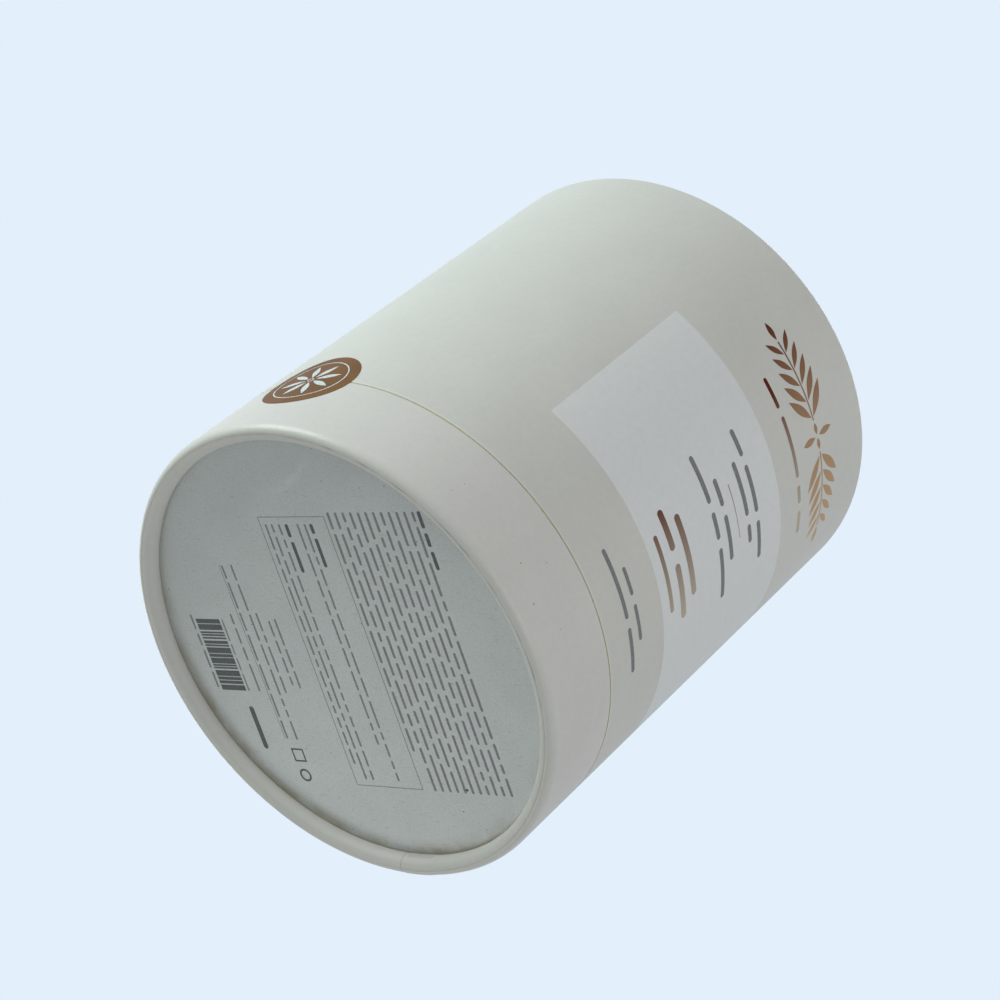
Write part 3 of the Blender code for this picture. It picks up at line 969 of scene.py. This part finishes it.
# The insert: a puck of white foam, bored from above with a ring of round pockets for five small vials,
# under a thin white card with the same holes. The puck stands on the base's floor inside the neck.
POCKET_ACROSS = 0.0186
POCKET_FOOT = 0.0127
POCKET_STEPS = 64
FOAM_COLOUR = (0.80, 0.80, 0.78)
FOAM_PIT_SHADE = (0.68, 0.68, 0.66)
FOAM_CELL = 1300
FOAM_PIT = 0.00009


def white_foam():
    """Closed-cell foam: small even cells that show as fine pits on the cut faces, with painted shade in
    the pits.
    """
    made = material("white_foam", FOAM_COLOUR, 0.8, Specular_IOR_Level=0.3)
    cells = node(made, "ShaderNodeTexVoronoi", {"Vector": place(made), "Scale": FOAM_CELL})
    pit = spread(made, cells.outputs["Distance"], 0.15, 0.6)
    # The pits are painted darker: painted shade in them.
    wire(made, "Base Color", blended(made, maths(made, "MULTIPLY", pit, 0.6), FOAM_COLOUR, FOAM_PIT_SHADE))
    relief(made, pit, -FOAM_PIT)
    return made


def holed_sheet(radius, height):
    """A flat round sheet with the five holes, and its edge loops: the outer one first."""
    shape = bmesh.new()
    loops = []
    middles = [(0, 0, radius, TURN_STEPS)]
    for opening in frame["record"]["physics"]["openings"]:
        if opening["name"].startswith("vial_pocket"):
            low, high = opening["box_m"]
            middle = ((low[0] + high[0]) / 2, (low[1] + high[1]) / 2)
            middles.append((*middle, POCKET_ACROSS / 2, POCKET_STEPS))
    for x, y, reach, steps in middles:
        spot = Matrix.Translation((x, y, height))
        made = bmesh.ops.create_circle(shape, segments=steps, radius=reach, matrix=spot)
        loops.append(list(dict.fromkeys(edge for corner in made["verts"] for edge in corner.link_edges)))
    bmesh.ops.triangle_fill(shape, use_beauty=True, edges=shape.edges[:], normal=(0, 0, 1))
    return shape, loops


def drawn_down(shape, loop, height):
    """Draws an edge loop down to a height as a wall, and closes it there with a floor."""
    made = bmesh.ops.extrude_edge_only(shape, edges=loop)["geom"]
    for corner in [part for part in made if isinstance(part, bmesh.types.BMVert)]:
        corner.co.z = height
    rim = [part for part in made if isinstance(part, bmesh.types.BMEdge) and part.is_boundary]
    bmesh.ops.contextual_create(shape, geom=rim)


foam_low, foam_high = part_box("insert_foam")
shape, loops = holed_sheet(foam_high.x, foam_high.z)
for index, loop in enumerate(loops):
    drawn_down(shape, loop, POCKET_FOOT if index else foam_low.z)
bmesh.ops.recalc_face_normals(shape, faces=shape.faces)
puck = new_object("insert_foam_puck", shape, white_foam())
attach(puck, "base")
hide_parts("insert_foam")

card_low, card_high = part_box("insert_card")
shape, loops = holed_sheet(card_high.x, card_low.z)
grown = bmesh.ops.extrude_face_region(shape, geom=shape.faces[:])["geom"]
for corner in [part for part in grown if isinstance(part, bmesh.types.BMVert)]:
    corner.co.z = card_high.z
bmesh.ops.recalc_face_normals(shape, faces=shape.faces)
card = new_object("insert_holed_card", shape, LINING)
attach(card, "base")
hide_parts("insert_card")


# The linings of the two discs: plain white rounds that the frame's own sheets already have the shape of.
for name in ("base_floor_paper", "lid_ceiling_paper"):
    frame["nodes"][name].data.materials.clear()
    frame["nodes"][name].data.materials.append(LINING)


# The floor: a pale sheet that only the camera sees, and only from above, so that a view from below has
# the plain pale ground. It takes the box's shadow, and fades into the ground farther out.
GROUND = (0.768, 0.863, 0.965)
GROUND_LIFT = 0.25
FADE_START = 0.13
FADE_END = 0.42
FLOOR_HALF = 2
FLOOR_DEPTH = 0.0001
shape = bmesh.new()
bmesh.ops.create_grid(shape, size=FLOOR_HALF)
bmesh.ops.translate(shape, vec=(0, 0, -FLOOR_DEPTH), verts=shape.verts)
floor_finish = material("floor", GROUND, 0.9, Specular_IOR_Level=0.0)
floor_nodes = floor_finish.node_tree.nodes
fade = spread(floor_finish, from_axis(floor_finish), FADE_START, FADE_END)
wire(floor_finish, "Base Color", blended(floor_finish, fade, GROUND, (0, 0, 0)))
floor_nodes["Principled BSDF"].inputs["Emission Color"].default_value = (*GROUND, 1)
wire(floor_finish, "Emission Strength", spread(floor_finish, fade, 0, 1, GROUND_LIFT, 1))
clear = node(floor_finish, "ShaderNodeBsdfTransparent", {})
below = node(floor_finish, "ShaderNodeNewGeometry", {}).outputs["Backfacing"]
either = node(
    floor_finish, "ShaderNodeMixShader",
    {0: below, 1: floor_nodes["Principled BSDF"].outputs[0], 2: clear.outputs[0]},
)
floor_finish.node_tree.links.new(either.outputs[0], floor_nodes["Material Output"].inputs["Surface"])
floor = new_object("floor", shape, floor_finish)
for ray in ("diffuse", "glossy", "transmission", "shadow"):
    setattr(floor, f"visible_{ray}", False)


# The light: a soft key at the box's left, and weaker lamps in front, above and behind, under an even
# sky. The back lamp is low, where the label mirrors it.
SKY = 0.34


def soft_lamp(name, azimuth, elevation, distance, size, strength, colour=(1, 1, 1)):
    """A square soft lamp that faces the box's middle. At a strength of 1 it lights a white sheet there,
    turned to it, to full white."""
    made = bpy.data.objects.new(name, bpy.data.lights.new(name, "AREA"))
    bpy.context.scene.collection.objects.link(made)
    made.data.size = size
    made.data.energy = strength * (math.pi * distance) ** 2
    made.data.color = colour
    direction = towards(math.radians(azimuth), math.radians(elevation))
    made.location = Vector((0, 0, HEIGHT / 2)) + direction * distance
    made.rotation_euler = direction.to_track_quat("Z", "Y").to_euler()
    made.visible_camera = False


soft_lamp("key", 239, -3, 0.70, 0.40, 0.71, (0.89, 1.0, 0.955))
soft_lamp("fill", -6, -6, 0.90, 0.60, 0.22, (0.98, 1.0, 0.985))
soft_lamp("top", 60, 80, 0.90, 0.50, 0.24)
soft_lamp("back", 134, -43, 0.42, 0.18, 0.105, (0.98, 1.0, 0.96))
soft_lamp("edge", 155, 8, 0.70, 0.35, 0.10, (0.95, 1.0, 0.92))

world = bpy.data.worlds.new("sky")
bpy.context.scene.world = world
world.use_nodes = True
sky = world.node_tree.nodes["Background"]
sky.inputs["Color"].default_value = (1, 1, 1, 1)
sky.inputs["Strength"].default_value = SKY
ground = node(world, "ShaderNodeBackground", {"Color": (*GROUND, 1)})
ray = node(world, "ShaderNodeLightPath", {}).outputs
mirrored = maths(world, "MAXIMUM", ray["Is Glossy Ray"], ray["Is Transmission Ray"])
seen = maths(world, "MAXIMUM", ray["Is Camera Ray"], mirrored)
shown = node(world, "ShaderNodeMixShader", {0: seen, 1: sky.outputs[0], 2: ground.outputs[0]})
world.node_tree.links.new(shown.outputs[0], world.node_tree.nodes["World Output"].inputs["Surface"])
bpy.context.scene.view_settings.view_transform = "Standard"

bpy.context.view_layer.update()
